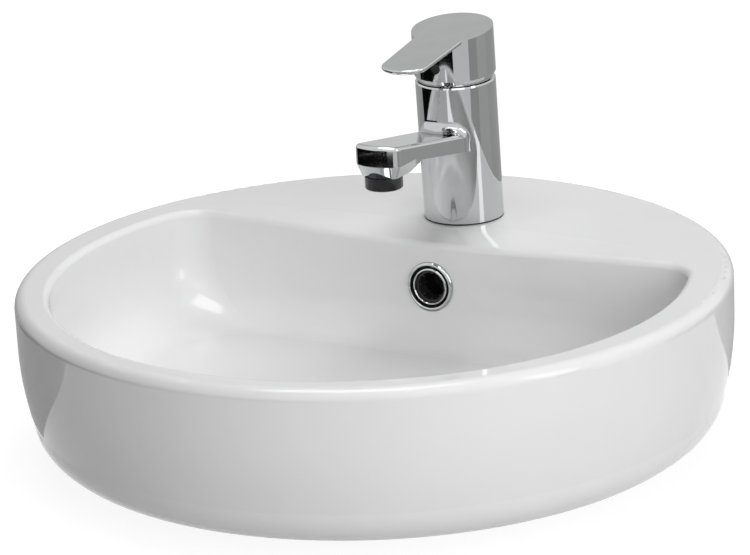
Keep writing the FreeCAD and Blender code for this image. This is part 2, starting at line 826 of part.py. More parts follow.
def biarc(start, start_way, end, end_way):
    """Two arcs that leave one point and reach another along given ways, as edges."""
    across = end - start
    ways = start_way + end_way
    square = 2 * (1 - start_way.dot(end_way))
    lead = across.dot(ways)
    reach = (-lead + math.sqrt(lead ** 2 + square * across.dot(across))) / square
    middle = (start + end + (start_way - end_way) * reach) * 0.5
    edges = []
    for first, way, last in ((start, start_way, middle), (end, end_way * -1, middle)):
        chord = last - first
        inward = (chord - way * chord.dot(way)).normalize()
        radius = chord.dot(chord) / (2 * chord.dot(inward))
        centre = first + inward * radius
        half = (first + last) * 0.5 - centre
        edges.append(Part.Arc(first, centre + half.normalize() * radius, last).toShape())
    return edges


def spring():
    """A helical wire between the crossbar's hub and the plug, one unbroken tube."""
    wire_radius = number("spring_wire_radius")
    radius = number("spring_radius")
    turns = number("spring_turns")
    low = number("crossbar_top") + wire_radius
    high = number("plug_bottom") - wire_radius
    steps = int(ARCS_PER_TURN * turns)
    rise = (high - low) / steps
    step_angle = 2 * math.pi * turns / steps
    points = []
    ways = []
    for index in range(steps + 1):
        angle = step_angle * index
        points.append(Vector(radius * math.cos(angle), radius * math.sin(angle), low + rise * index))
        way = Vector(-radius * math.sin(angle), radius * math.cos(angle), rise / step_angle)
        ways.append(way.normalize())
    edges = []
    for index in range(steps):
        edges += biarc(points[index], ways[index], points[index + 1], ways[index + 1])
    path = Part.Wire(Part.__sortEdges__(edges))
    section = Part.Wire(Part.Circle(points[0], ways[0], wire_radius).toShape())
    print(f"plug_spring: least gap between turns {ARCS_PER_TURN * rise - 2 * wire_radius:.2f} mm")
    solid = doc.addObject("Part::Feature", "plug_spring")
    solid.Shape = path.makePipeShell([section], True, False)
    return on_drain(solid)


def spout():
    """The rising spout, deeper at its tip, where it holds the aerator."""
    front = f"-(spout_front + {PAST})"
    side = side_outline("spout_side", [
        ("0", "underside_root_level"),
        ("0", "spout_root_level"),
        (front, f"spout_root_level + (spout_front + {PAST}) * tan(spout_rise)"),
        (front, "tip_bottom_level"),
        ("-tip_rear", "tip_bottom_level"),
        ("-underside_reach", "underside_end_level"),
    ])
    place(side, y="tap_back", z="basin_height")
    side_form = extruded("spout_side_form", side, "2 * spout_root_width", both_ways=True)
    plan = flat_outline("spout_plan", [
        ("spout_root_width / 2", "0"),
        ("-spout_root_width / 2", "0"),
        ("-spout_tip_width / 2", "-spout_reach", "spout_front_radius"),
        ("spout_tip_width / 2", "-spout_reach"),
    ])
    place(plan, y="tap_back", z="basin_height + underside_root_level - spout_root_width / 2")
    plan_form = extruded("spout_plan_form", plan, "spout_tip_level")
    corner = "tap_back - spout_reach + spout_corner_radius"
    plan_round = rounded("spout_plan_round", plan_form, "spout_corner_radius",
                         lambda edge: upright(edge) and edge.CenterOfMass.y < number(corner))
    bar = shared("spout_bar", side_form, plan_round)
    return rounded("spout_bar_round", bar, "spout_edge_radius", spout_top_edge)


def chin_edge(edge):
    """A front or side edge of the chin's level underside."""
    level = number("basin_height + tip_bottom_level")
    if any(abs(vertex.Point.z - level) > 0.01 for vertex in edge.Vertexes):
        return False
    return edge.CenterOfMass.y < number("tap_back - tip_rear") - 0.01


def spout_top_edge(edge):
    """A long edge, or a front edge, of the spout's upper face."""
    slope = math.tan(math.radians(number("spout_rise")))
    for vertex in edge.Vertexes:
        forward = number("tap_back") - vertex.Point.y
        level = number("basin_height + spout_root_level") + forward * slope
        if abs(vertex.Point.z - level) > 0.01:
            return False
    return edge.CenterOfMass.y < number("tap_front")


def joins_column(edge):
    """An edge where the spout's top or sides meet the column."""
    rake = math.radians(number("tap_rake"))
    axis = Vector(0, -math.sin(rake), math.cos(rake))
    foot = Vector(0, number("tap_back"), number("basin_height"))
    for part in range(5):
        first, last = edge.ParameterRange
        offset = edge.valueAt(first + (last - first) * part / 4) - foot
        along = offset.dot(axis)
        if not 0.4 * number("tap_height") < along < 0.9 * number("tap_height"):
            return False
        if abs((offset - axis * along).Length - number("tap_radius")) > 0.02:
            return False
    ends = [vertex.Point for vertex in edge.Vertexes]
    lowest = number("basin_height + underside_root_level + tap_radius * tan(underside_rise)")
    underside = max(point.z for point in ends) < lowest
    return edge.CenterOfMass.y < number("tap_back") and not underside


def local_hole(name, radius, bottom, top, x, y):
    """A hole along the tap's axis, x and y from that axis."""
    rake = "tap_rake"
    hole = cylinder(name, radius, bottom, top)
    return place(hole, x, f"tap_back + ({y}) * cos({rake}) - ({bottom}) * sin({rake})",
                 f"basin_height + ({y}) * sin({rake}) + ({bottom}) * cos({rake})", X_AXIS, rake)


# Waterways between the column and the cartridge, as name, x and y from the tap's axis.
PORTS = (
    ("hot", "-inlet_spacing / 2", "-inlet_forward"),
    ("cold", "inlet_spacing / 2", "-inlet_forward"),
    ("mixed", "0", "-outlet_forward"),
)


def tap_body():
    """The raked column with its spout, bored for the cartridge, inlets and stud."""
    column = on_tap_axis(turned("column", [
        ("0", "-tap_radius"),
        ("tap_radius", "-tap_radius"),
        ("tap_radius", "tap_height - tap_top_chamfer_height"),
        ("tap_radius - tap_top_chamfer", "tap_height"),
        ("0", "tap_height"),
    ]))
    joined = fused("column_and_spout", column, spout())
    smooth = rounded("tap_smooth", joined, "spout_join_radius", joins_column)
    outside = bevelled("tap_outside", smooth, "chin_inset", "chin_height", chin_edge)
    below = box("below_base", both_sides("basin_radius"), ("0", "basin_radius"),
                ("0", "basin_height + base_gasket_thickness"))
    base_bore = on_tap_axis(turned("base_bore", [
        ("0", "-tap_radius"),
        ("base_bore_radius", "-tap_radius"),
        ("base_bore_radius", "web_bottom"),
        ("0", "web_bottom"),
    ]))
    chamber = on_tap_axis(turned("chamber", [
        ("0", "web_top"),
        ("cartridge_bore_radius", "web_top"),
        ("cartridge_bore_radius", "housing_top"),
        ("nut_bore_radius", "housing_top"),
        ("nut_bore_radius", f"tap_height + {PAST}"),
        ("0", f"tap_height + {PAST}"),
    ]))
    stud_hole = cylinder("stud_hole", "stud_radius", "basin_height",
                         "basin_height + web_bottom + stud_thread_depth", y="tap_back + stud_back")
    hot, cold = [local_hole(f"{name}_inlet", "inlet_radius", f"web_bottom - {PAST}",
                            f"web_top + {PAST}", x, y) for name, x, y in PORTS[:2]]
    name, x, y = PORTS[2]
    outlet = local_hole(f"{name}_outlet", "outlet_radius", "waterway_root_level + waterway_height / 2",
                        f"web_top + {PAST}", x, y)
    waterway = box("waterway", both_sides("waterway_width / 2"), ("0", "aerator_forward - outlet_forward"),
                   ("0", "waterway_height"))
    far = "aerator_forward + aerator_thread_radius / 2"
    place(waterway, "-waterway_width / 2", f"tap_back - ({far})",
          f"basin_height + waterway_root_level + ({far}) * tan(waterway_rise)", X_AXIS, "-waterway_rise")
    aerator_y = "tap_back - aerator_forward"
    aerator_bore = cylinder("aerator_bore", "aerator_thread_radius",
                            f"basin_height + tip_bottom_level - {PAST}",
                            "basin_height + aerator_bore_top", y=aerator_y)
    drop = cylinder("aerator_feed", "aerator_thread_radius - aerator_wall",
                    "basin_height + tip_bottom_level",
                    "basin_height + waterway_root_level + aerator_forward * tan(waterway_rise)",
                    y=aerator_y)
    body = cut("tap_body", outside, below, base_bore, chamber, stud_hole, hot, cold, outlet,
               waterway, aerator_bore, drop)
    node(body, "tap_body")
    node(place(ring("tap_base_gasket", "tap_hole_radius", "tap_radius - fit_clearance", "0",
                    "base_gasket_thickness"), y="tap_back", z="basin_height"), "tap_base_gasket")


def on_spout_tip(thing):
    return place(thing, y="tap_back - aerator_forward", z="basin_height")


def aerator():
    """The aerator: threaded housing, honeycomb insert and washer."""
    bore = "aerator_thread_radius - aerator_wall"
    thread_top = "tip_bottom_level + aerator_thread_length"
    sill = "aerator_bottom + aerator_wall / 2"
    housing = turned("aerator_housing", [
        (f"{bore} - aerator_wall / 2", "aerator_bottom"),
        ("aerator_radius - aerator_wall / 3", "aerator_bottom"),
        ("aerator_radius", "aerator_bottom + aerator_wall / 3"),
        ("aerator_radius", "tip_bottom_level"),
        ("aerator_thread_radius - fit_clearance", "tip_bottom_level"),
        ("aerator_thread_radius - fit_clearance", thread_top),
        (bore, thread_top),
        (bore, sill),
        (f"{bore} - aerator_wall / 2", sill),
    ])
    node(on_spout_tip(housing), "aerator_housing")
    disc = cylinder("insert_disc", f"{bore} - fit_clearance / 2", sill, f"{sill} + aerator_insert_height")
    holes = []
    for ring_index, count in enumerate(INSERT_HOLES):
        for index in range(count):
            angle = 360 * index / count
            reach = f"{ring_index} * {bore} / {len(INSERT_HOLES)}"
            holes.append(cylinder(f"insert_hole_{ring_index}_{index}", "aerator_wall / 2",
                                  f"aerator_bottom - {PAST}", thread_top,
                                  f"{reach} * cos({angle})", f"{reach} * sin({angle})"))
    node(on_spout_tip(cut("aerator_insert", disc, fused("insert_holes", *holes))), "aerator_insert")
    node(on_spout_tip(ring("aerator_washer", bore, "aerator_thread_radius - fit_clearance", thread_top,
                           "aerator_bore_top")), "aerator_washer")


def port_holes(name, bottom, top):
    return fused(name, *[cylinder(f"{name}_{port}", "port_radius", bottom, top, x, y)
                         for port, x, y in PORTS])


def cartridge():
    """The ceramic-disc cartridge in the column, with the nut that holds it."""
    seals = []
    for port, x, y in PORTS:
        outer = cylinder(f"{port}_seal_outer", "port_radius + cartridge_seal_width", "web_top",
                         "seal_top", x, y)
        inner = cylinder(f"{port}_seal_inner", "port_radius", "web_top", "seal_top", x, y)
        seals.append(cut(f"{port}_seal", outer, inner))
    node(on_tap_axis(fused("cartridge_seals", *seals)), "cartridge_seals")
    base = cut("cartridge_base",
               cylinder("cartridge_base_disc", "cartridge_radius", "seal_top", "cartridge_base_top"),
               port_holes("base_ports", "web_top", "fixed_disc_top"))
    node(on_tap_axis(base), "cartridge_base")
    disc = cut("fixed_ceramic_disc",
               cylinder("fixed_disc_blank", "fixed_disc_radius", "cartridge_base_top", "fixed_disc_top"),
               port_holes("disc_ports", "web_top", "moving_disc_top"))
    node(on_tap_axis(disc), "fixed_ceramic_disc")
    neck = "rotor_radius + running_clearance"
    housing = turned("cartridge_housing", [
        ("housing_cavity_radius", "cartridge_base_top"),
        ("cartridge_radius", "cartridge_base_top"),
        ("cartridge_radius", "housing_top"),
        (neck, "housing_top"),
        (neck, "housing_ceiling"),
        ("housing_cavity_radius", "housing_ceiling"),
    ])
    node(on_tap_axis(housing), "cartridge_housing")
    collar = cylinder("nut_collar", "nut_bore_radius - fit_clearance", "housing_top", "nut_top")
    hexed = hexagon("nut_hex", "nut_hex_radius", "nut_top", "nut_top + nut_hex_height")
    nut = cut("cartridge_nut", fused("nut_blank", collar, hexed),
              cylinder("nut_hole", "nut_hole_radius", "web_top", "cap_bottom"))
    node(on_tap_axis(nut), "cartridge_nut")


def cross_cylinder(name, radius, half_length, y, z):
    """A round bar along X."""
    bar = doc.addObject("Part::Cylinder", name)
    bind(bar, "Radius", radius)
    bind(bar, "Height", f"2 * ({half_length})")
    return place(bar, f"-({half_length})", y, z, Vector(0, 1, 0), "90")


def rotor():
    """The part of the cartridge that turns with the handle and carries its pivot pin."""
    blank = turned("rotor_blank", [
        ("0", "rotor_bottom"),
        ("rotor_flange_radius", "rotor_bottom"),
        ("rotor_flange_radius", "rotor_flange_top"),
        ("rotor_radius", "rotor_flange_top"),
        ("rotor_radius", "rotor_top"),
        ("0", "rotor_top"),
    ])
    back = "pivot_back + stem_eye_radius + running_clearance"
    slot = box("rotor_slot", both_sides("slot_half_width"), ("-rotor_slot_front", back),
               ("web_top", "cap_bottom"))
    pin_hole = cross_cylinder("rotor_pin_hole", "pivot_pin_radius", "rotor_radius", "pivot_back",
                              "pivot_level")
    node(on_tap_axis(cut("stem_carrier", blank, slot, pin_hole)), "stem_carrier")
    pin = cross_cylinder("pivot_pin_bar", "pivot_pin_radius", "pivot_pin_length / 2", "pivot_back",
                         "pivot_level")
    node(on_tap_axis(fused_one("pivot_pin", pin)), "pivot_pin")


def moving_disc():
    """The ceramic disc that slides on the fixed one, and the carrier that drives it."""
    blank = cylinder("moving_disc_blank", "moving_disc_radius", "fixed_disc_top", "moving_disc_top",
                     y="moving_disc_back")
    pocket = box("mixing_pocket", both_sides("inlet_spacing / 2"),
                 both_sides("port_radius"), ("web_top", "fixed_disc_top + disc_thickness / 2"))
    node(on_tap_axis(cut("moving_ceramic_disc", blank, pocket)), "moving_ceramic_disc")
    carrier = cylinder("disc_carrier_blank", "moving_disc_radius", "moving_disc_top", "disc_carrier_top",
                       y="moving_disc_back")
    slot = box("carrier_slot", both_sides("slot_half_width"),
               both_sides("stem_finger_width / 2 + finger_play"), ("moving_disc_top", "cap_bottom"))
    node(on_tap_axis(cut("disc_carrier", carrier, slot)), "disc_carrier")


def cap_slope(name, length, fall):
    """The room over a plane that falls to the front through the middle of the cap's top."""
    room = box(name, both_sides("cap_radius + cap_wall"), ("0", length), ("0", "cap_radius"))
    front = "2 * cap_radius"
    return place(room, "-cap_radius - cap_wall", f"-({front}) * cos({fall})",
                 f"cap_top - ({front}) * sin({fall})", X_AXIS, fall)


def handle():
    """The lever: a hollow cap with a paddle, on the stem that tilts about the pivot pin."""
    high = "cap_top + cap_radius * sin(paddle_fall)"
    cap = turned("cap", [
        ("cap_bore_radius", "cap_bottom"),
        ("cap_radius - cap_chamfer", "cap_bottom"),
        ("cap_radius", "cap_bottom + cap_chamfer_height"),
        ("cap_radius", high),
        ("0", high),
        ("0", "cap_ceiling"),
        ("cap_bore_radius", "cap_ceiling"),
    ])
    sloped = cut("sloped_cap", cap, cap_slope("cap_back_slope", "4 * cap_radius", "paddle_fall"),
                 cap_slope("cap_front_slope", "2 * cap_radius", "cap_front_fall"))

    half = "paddle_tip_width / 2"
    side_end = f"-(paddle_reach - paddle_tip_radius + sqrt(paddle_tip_radius ^ 2 - ({half}) ^ 2))"
    outline = flat_outline("paddle_outline", [
        ("paddle_root_width / 2", "paddle_back"),
        ("-paddle_root_width / 2", "paddle_back"),
        (f"-{half}", side_end, "paddle_tip_radius"),
        (half, side_end),
    ], "-paddle_thickness")
    plate = extruded("paddle_plate", outline, "paddle_thickness")
    cornered = rounded("paddle_cornered", plate, "paddle_corner_radius",
                       lambda edge: upright(edge) and edge.CenterOfMass.y < 0)
    edged = rounded("paddle_edged", cornered, "paddle_edge_radius",
                    lambda edge: not upright(edge) and edge.CenterOfMass.y < number("paddle_back") - 1)
    paddle = place(fused_one("paddle", edged), z="cap_top", axis=X_AXIS, angle="paddle_fall")
    boss = box("handle_boss", both_sides("boss_width / 2"), both_sides("boss_width / 2"),
               ("boss_bottom", "cap_ceiling + cap_top_thickness / 2"))
    socket_half = "stem_width / 2"
    socket = box("stem_socket", both_sides(socket_half), both_sides(socket_half),
                 ("cap_bottom", "stem_top"))
    index_hole = front_hole("index_hole", "index_radius", "boss_width / 2", "cap_radius + cap_wall")
    grub_hole = front_hole("grub_hole", "grub_radius", "0", "boss_width / 2 + cap_wall")
    relief = box("lift_relief", both_sides("cap_radius + cap_wall"), ("-cap_wall", "2 * cap_radius"),
                 ("-cap_radius", "0"))
    level = "pivot_level + (tap_height + 2 * running_clearance - pivot_level) / cos(lever_lift)"
    place(relief, "-cap_radius - cap_wall",
          "pivot_back + cap_radius * sin(lever_lift) - cap_wall * cos(lever_lift)",
          f"{level} - cap_radius * cos(lever_lift) - cap_wall * sin(lever_lift)", X_AXIS, "lever_lift")
    whole = fused("handle_whole", sloped, paddle, boss)
    node(on_tap_axis(cut("handle_lever", whole, socket, index_hole, grub_hole, relief)), "handle_lever")

    plug_front = "cap_radius - index_plug_thickness / 2"
    index = front_hole("index_plug_disc", "index_radius - fit_clearance / 2",
                       f"{plug_front} - index_plug_thickness", plug_front)
    node(on_tap_axis(fused_one("index_plug", index)), "index_plug")
    grub = front_hole("grub_bar", "grub_radius - fit_clearance / 2", "stem_width / 2",
                      "stem_width / 2 + grub_length")
    key = front_hole("grub_key", "grub_radius / 2", "stem_width / 2 + grub_length / 2", "cap_radius")
    node(on_tap_axis(cut("handle_grub_screw", grub, key)), "handle_grub_screw")


def front_hole(name, radius, near, far):
    """A round bar along -Y at the index's level, from a near to a far distance."""
    bar = doc.addObject("Part::Cylinder", name)
    bind(bar, "Radius", radius)
    bind(bar, "Height", f"({far}) - ({near})")
    return place(bar, "0", f"-({near})", "index_level", X_AXIS, "90")


def lever_stem():
    """The square stem with its pivot eye and the finger that drives the disc."""
    width = both_sides("stem_width / 2")
    neck = "pivot_level - stem_eye_radius"
    bar = box("stem_bar", width, width, (neck, "stem_top"))
    finger = box("stem_finger", width, both_sides("stem_finger_width / 2"),
                 ("moving_disc_top + running_clearance", "pivot_level"))
    shoulder = box("stem_shoulder", width, ("0", "pivot_back"), (neck, "pivot_level + stem_eye_radius"))
    eye = cross_cylinder("stem_eye", "stem_eye_radius", "stem_width / 2", "pivot_back", "pivot_level")
    hole = cross_cylinder("stem_eye_hole", "pivot_pin_radius + fit_clearance / 2", "stem_width",
                          "pivot_back", "pivot_level")
    stem = cut("lever_stem", fused("stem_blank", bar, finger, shoulder, eye), hole)
    node(on_tap_axis(stem), "lever_stem")


def fixing():
    """The stud, horseshoe washers and nut that clamp the tap under the deck."""
    stud_y = "tap_back + stud_back"
    node(cylinder("mounting_stud", "stud_radius", "deck_underside - stud_drop",
                  "basin_height + web_bottom + stud_thread_depth", y=stud_y), "mounting_stud")
    rubber_bottom = "deck_underside - horseshoe_rubber_thickness"
    for name, bottom, top in (
        ("horseshoe_rubber", rubber_bottom, "deck_underside"),
        ("horseshoe_plate", "plate_bottom", rubber_bottom),
    ):
        gap_y = "tap_back - horseshoe_gap_forward"
        disc = cylinder(f"{name}_disc", "horseshoe_radius", bottom, top, y="tap_back")
        gap = cylinder(f"{name}_gap", "horseshoe_gap_radius", "0", "basin_height", y=gap_y)
        mouth = box(f"{name}_mouth", both_sides("horseshoe_gap_radius"),
                    ("tap_back - 2 * horseshoe_radius", gap_y), ("0", "basin_height"))
        hole = cylinder(f"{name}_hole", "stud_radius + fit_clearance", "0", "basin_height", y=stud_y)
        node(cut(name, disc, gap, mouth, hole), name)
    nut = cut("mounting_nut",
              hexagon("mounting_nut_blank", "stud_nut_radius", "plate_bottom - stud_nut_height",
                      "plate_bottom", y=stud_y),
              cylinder("mounting_nut_hole", "stud_radius", "0", "basin_height", y=stud_y))
    node(nut, "mounting_nut")


fill_sheets()
for make in (basin, overflow, waste, plug, tap_body, aerator, cartridge, rotor, moving_disc,
             lever_stem, handle, fixing):
    make()
doc.recompute()

for thing in doc.Objects:
    if "Invalid" in thing.State or "Error" in thing.State:
        raise RuntimeError(f"{thing.Label} failed: {thing.State}")
for thing in nodes:
    if thing.Shape.isNull() or not thing.Shape.isValid():
        raise RuntimeError(f"{thing.Label} has no sound shape")

os.makedirs("parts", exist_ok=True)
for thing in nodes:
    thing.Shape.exportStep(os.path.join("parts", thing.Label + ".step"))
    bounds = thing.Shape.BoundBox
    print(f"{thing.Label}: {len(thing.Shape.Solids)} solid(s), {thing.Shape.Volume / 1000:.2f} cm3, "
          f"z {bounds.ZMin:.2f} to {bounds.ZMax:.2f}")
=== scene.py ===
"""The look of the countertop basin: procedural finishes, a pale studio and the photograph's camera."""
import json
import math

import bpy
from mathutils import Matrix, Vector


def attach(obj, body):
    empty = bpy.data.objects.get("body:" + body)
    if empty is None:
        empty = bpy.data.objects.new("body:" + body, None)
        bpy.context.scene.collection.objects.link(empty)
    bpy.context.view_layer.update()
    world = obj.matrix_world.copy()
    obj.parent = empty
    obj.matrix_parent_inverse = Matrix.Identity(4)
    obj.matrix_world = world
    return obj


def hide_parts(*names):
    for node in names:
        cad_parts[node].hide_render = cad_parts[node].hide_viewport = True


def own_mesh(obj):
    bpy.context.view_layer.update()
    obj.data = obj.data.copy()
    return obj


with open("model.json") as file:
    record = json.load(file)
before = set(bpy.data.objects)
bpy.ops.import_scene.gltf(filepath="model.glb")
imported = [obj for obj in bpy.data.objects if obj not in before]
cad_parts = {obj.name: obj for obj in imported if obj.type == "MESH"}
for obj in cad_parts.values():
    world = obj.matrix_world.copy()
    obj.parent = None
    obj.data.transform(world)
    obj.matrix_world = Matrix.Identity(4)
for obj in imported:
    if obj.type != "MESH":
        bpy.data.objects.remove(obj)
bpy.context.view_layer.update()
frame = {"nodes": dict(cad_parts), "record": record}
nodes = frame["nodes"]
scene = bpy.context.scene
scene.view_settings.view_transform = "Standard"


# Shader helpers

# The range that most of a noise's values lie in, and its layers of detail
NOISE_LOW = 0.3
NOISE_HIGH = 0.7
NOISE_DETAIL = 3.0
# The sockets of a colour mix, by number because a mix has several of each name
MIX_SHARE, MIX_FIRST, MIX_SECOND, MIX_RESULT = 0, 6, 7, 2
# A black painted onto surfaces as shade, where light doesn't reach
PAINTED_SHADE_BLACK = (0.012, 0.012, 0.012, 1)


def shader(name):
    """A new node material, with its tree, its surface shader and the object's own coordinates."""
    material = bpy.data.materials.new(name)
    material.use_nodes = True
    tree = material.node_tree
    surface = tree.nodes["Principled BSDF"]
    place = tree.nodes.new("ShaderNodeTexCoord").outputs["Object"]
    return material, tree, surface, place


def noise(tree, place, size):
    """A noise whose lumps are about size metres across."""
    texture = tree.nodes.new("ShaderNodeTexNoise")
    texture.inputs["Scale"].default_value = 1.0 / size
    texture.inputs["Detail"].default_value = NOISE_DETAIL
    tree.links.new(place, texture.inputs["Vector"])
    return texture.outputs["Fac"]


def spread(tree, value, low, high):
    """A noise's value, spread between two limits."""
    mapped = tree.nodes.new("ShaderNodeMapRange")
    mapped.inputs["From Min"].default_value = NOISE_LOW
    mapped.inputs["From Max"].default_value = NOISE_HIGH
    mapped.inputs["To Min"].default_value = low
    mapped.inputs["To Max"].default_value = high
    tree.links.new(value, mapped.inputs["Value"])
    return mapped.outputs["Result"]


def tint(tree, value, dark, light):
    """A colour between two, by a noise's value."""
    ramp = tree.nodes.new("ShaderNodeValToRGB")
    first, last = ramp.color_ramp.elements
    first.position = NOISE_LOW
    first.color = (*dark, 1)
    last.position = NOISE_HIGH
    last.color = (*light, 1)
    tree.links.new(value, ramp.inputs["Fac"])
    return ramp.outputs["Color"]


def relief(tree, value, depth):
    """A bumped normal, depth metres deep."""
    bump = tree.nodes.new("ShaderNodeBump")
    bump.inputs["Distance"].default_value = depth
    bump.inputs["Strength"].default_value = 1.0
    tree.links.new(value, bump.inputs["Height"])
    return bump.outputs["Normal"]


def vector_math(tree, operation, first, second=None):
    """A vector node on a linked vector and, if it takes two, a fixed one."""
    step = tree.nodes.new("ShaderNodeVectorMath")
    step.operation = operation
    tree.links.new(first, step.inputs[0])
    if second:
        step.inputs[1].default_value = second
    return step


def math_node(tree, operation, first, second):
    """A maths node on a linked value and a fixed or linked one."""
    step = tree.nodes.new("ShaderNodeMath")
    step.operation = operation
    tree.links.new(first, step.inputs[0])
    if isinstance(second, float):
        step.inputs[1].default_value = second
    else:
        tree.links.new(second, step.inputs[1])
    return step.outputs[0]


def inside_box(tree, place, low, high):
    """One inside a box in the object's own coordinates, else nothing."""
    centre = [(a + b) / 2 for a, b in zip(low, high)]
    half = [(b - a) / 2 for a, b in zip(low, high)]
    offset = vector_math(tree, "SUBTRACT", place, centre).outputs["Vector"]
    share = vector_math(tree, "DIVIDE", offset, half).outputs["Vector"]
    size = vector_math(tree, "ABSOLUTE", share).outputs["Vector"]
    parts = tree.nodes.new("ShaderNodeSeparateXYZ")
    tree.links.new(size, parts.inputs[0])
    largest = math_node(tree, "MAXIMUM", parts.outputs["X"], parts.outputs["Y"])
    largest = math_node(tree, "MAXIMUM", largest, parts.outputs["Z"])
    return math_node(tree, "LESS_THAN", largest, 1.0)


def inside_groove(tree, place, centre, axis, near, far):
    """One between two distances from an axis, else nothing."""
    offset = vector_math(tree, "SUBTRACT", place, centre).outputs["Vector"]
    across = vector_math(tree, "CROSS_PRODUCT", offset, axis).outputs["Vector"]
    reach = vector_math(tree, "LENGTH", across).outputs["Value"]
    return math_node(tree, "MULTIPLY", math_node(tree, "GREATER_THAN", reach, near),
                     math_node(tree, "LESS_THAN", reach, far))


def finish_of(name, dark, light, patch, roughness, grain, depth, metallic=0.0, ior=1.5, shadow=None):
    """A material with a mottled colour, an uneven gloss and a fine surface grain.

    patch and grain are the sizes of the mottling and of the grain, and depth is the grain's, in metres.
    shadow is a mask where the colour turns to black painted shade, with the sizes that the mask takes.
    """
    material, tree, surface, place = shader(name)
    patches = noise(tree, place, patch)
    colour = tint(tree, patches, dark, light)
    # Black painted shade where the mask is one
    if shadow:
        mask, *sizes = shadow
        mix = tree.nodes.new("ShaderNodeMix")
        mix.data_type = "RGBA"
        tree.links.new(mask(tree, place, *sizes), mix.inputs[MIX_SHARE])
        tree.links.new(colour, mix.inputs[MIX_FIRST])
        mix.inputs[MIX_SECOND].default_value = PAINTED_SHADE_BLACK
        colour = mix.outputs[MIX_RESULT]
    tree.links.new(colour, surface.inputs["Base Color"])
    tree.links.new(spread(tree, patches, *roughness), surface.inputs["Roughness"])
    surface.inputs["Metallic"].default_value = metallic
    surface.inputs["IOR"].default_value = ior
    grains = noise(tree, place, grain)
    tree.links.new(relief(tree, grains, depth), surface.inputs["Normal"])
    return material


# Finishes

# Where black painted shade stands in for the unlit duct behind the overflow and for the dark groove in the
# overflow's ring, in metres
DUCT_SHADE_BOX = ((-0.0137, 0.0804, 0.0175), (0.0137, 0.0896, 0.0899))
OVERFLOW_CENTRE = (0, 0.07352, 0.0761)
OVERFLOW_AXIS = (0, -0.999048, 0.043619)
OVERFLOW_GROOVE_SHADE = (0.01225, 0.0139)

CHROME = dict(dark=(0.54, 0.545, 0.55), light=(0.57, 0.575, 0.58), patch=0.02, roughness=(0.03, 0.05),
              metallic=1.0, grain=0.003, depth=0.0000005)

# By the record's material slot
MATERIALS = {
    # The glaze is painted black inside the overflow's duct: painted shade
    "glazed_white": finish_of("glazed_white", (0.80, 0.80, 0.80), (0.83, 0.83, 0.832), 0.09,
                              (0.035, 0.055), ior=1.52, grain=0.03, depth=0.00002,
                              shadow=(inside_box, *DUCT_SHADE_BOX)),
    "polished_chrome": finish_of("polished_chrome", **CHROME),
    "black_plastic": finish_of("black_plastic", (0.010, 0.010, 0.010), (0.018, 0.018, 0.018), 0.006,
                               (0.35, 0.5), grain=0.0006, depth=0.00002),
    "white_plastic": finish_of("white_plastic", (0.74, 0.74, 0.72), (0.80, 0.80, 0.78), 0.008,
                               (0.35, 0.5), grain=0.0006, depth=0.00002),
    "black_rubber": finish_of("black_rubber", (0.012, 0.012, 0.012), (0.024, 0.024, 0.024), 0.004,
                              (0.6, 0.8), grain=0.0005, depth=0.00004),
    "plain_brass": finish_of("plain_brass", (0.58, 0.42, 0.20), (0.68, 0.52, 0.27), 0.008,
                             (0.22, 0.38), metallic=1.0, grain=0.0008, depth=0.00002),
    "plain_steel": finish_of("plain_steel", (0.50, 0.50, 0.50), (0.58, 0.58, 0.58), 0.006,
                             (0.25, 0.4), metallic=1.0, grain=0.0006, depth=0.00002),
    "disc_ceramic": finish_of("disc_ceramic", (0.78, 0.77, 0.74), (0.84, 0.83, 0.80), 0.006,
                              (0.2, 0.3), grain=0.0008, depth=0.00001),
}

# For the pieces that differ from their slot, each with painted shade in its colour
NODE_MATERIALS = {
    # The ring's chrome is painted black in its groove: painted shade and dark reflection
    "overflow_ring": finish_of("chrome_with_painted_groove_shade", **CHROME,
                               shadow=(inside_groove, OVERFLOW_CENTRE, OVERFLOW_AXIS, *OVERFLOW_GROOVE_SHADE)),
    # The aerator's chrome is darkened nearly to black: painted shade and dark reflection under the spout
    "aerator_housing": finish_of("chrome_darkened_as_painted_shade", (0.05, 0.05, 0.052), (0.065, 0.065, 0.067), 0.01,
                                 (0.03, 0.05), metallic=1.0, grain=0.003, depth=0.0000005),
}

slot_of = {row["node"]: row["material_slot"] for row in frame["record"]["subparts"]}
for name, node in nodes.items():
    node.data.materials.clear()
    node.data.materials.append(NODE_MATERIALS.get(name, MATERIALS[slot_of[name]]))


def shortening_spring(name, node):
    """A copy of a node's spring in the node's place, hung from the root body, with the node hidden."""
    piece = bpy.data.objects.new(name, nodes[node].data.copy())
    scene.collection.objects.link(piece)
    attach(piece, "root")
    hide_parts(node)
    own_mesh(piece)


shortening_spring("plug_coil", "plug_spring")


# Floor, background and studio light

# What the floor gives back to the object, and how the camera and the gloss see it: lit and of itself
FLOOR_BOUNCE = 0.5
FLOOR_SHADE = 0.2
FLOOR_GLOW = 0.9
FLOOR_REACH = 12
AMBIENT = 0.1
# The point that the lights face, and their distance from it
AIM = Vector((0, 0, 0.1))
LIGHT_DISTANCE = 2.0
PLAIN_RAYS = ["Is Camera Ray", "Is Glossy Ray", "Is Transmission Ray"]


def stage_plane(name, corners, material):
    """A flat piece of the studio, outside the object."""
    mesh = bpy.data.meshes.new(name)
    mesh.from_pydata(corners, [], [range(len(corners))])
    piece = bpy.data.objects.new(name, mesh)
    scene.collection.objects.link(piece)
    piece.data.materials.append(material)
    return piece


def plain_rays(tree):
    """One where the camera, a mirror or a clear material sees the surface, else nothing."""
    path = tree.nodes.new("ShaderNodeLightPath")
    seen = path.outputs[PLAIN_RAYS[0]]
    for ray in PLAIN_RAYS[1:]:
        seen = math_node(tree, "MAXIMUM", seen, path.outputs[ray])
    return seen


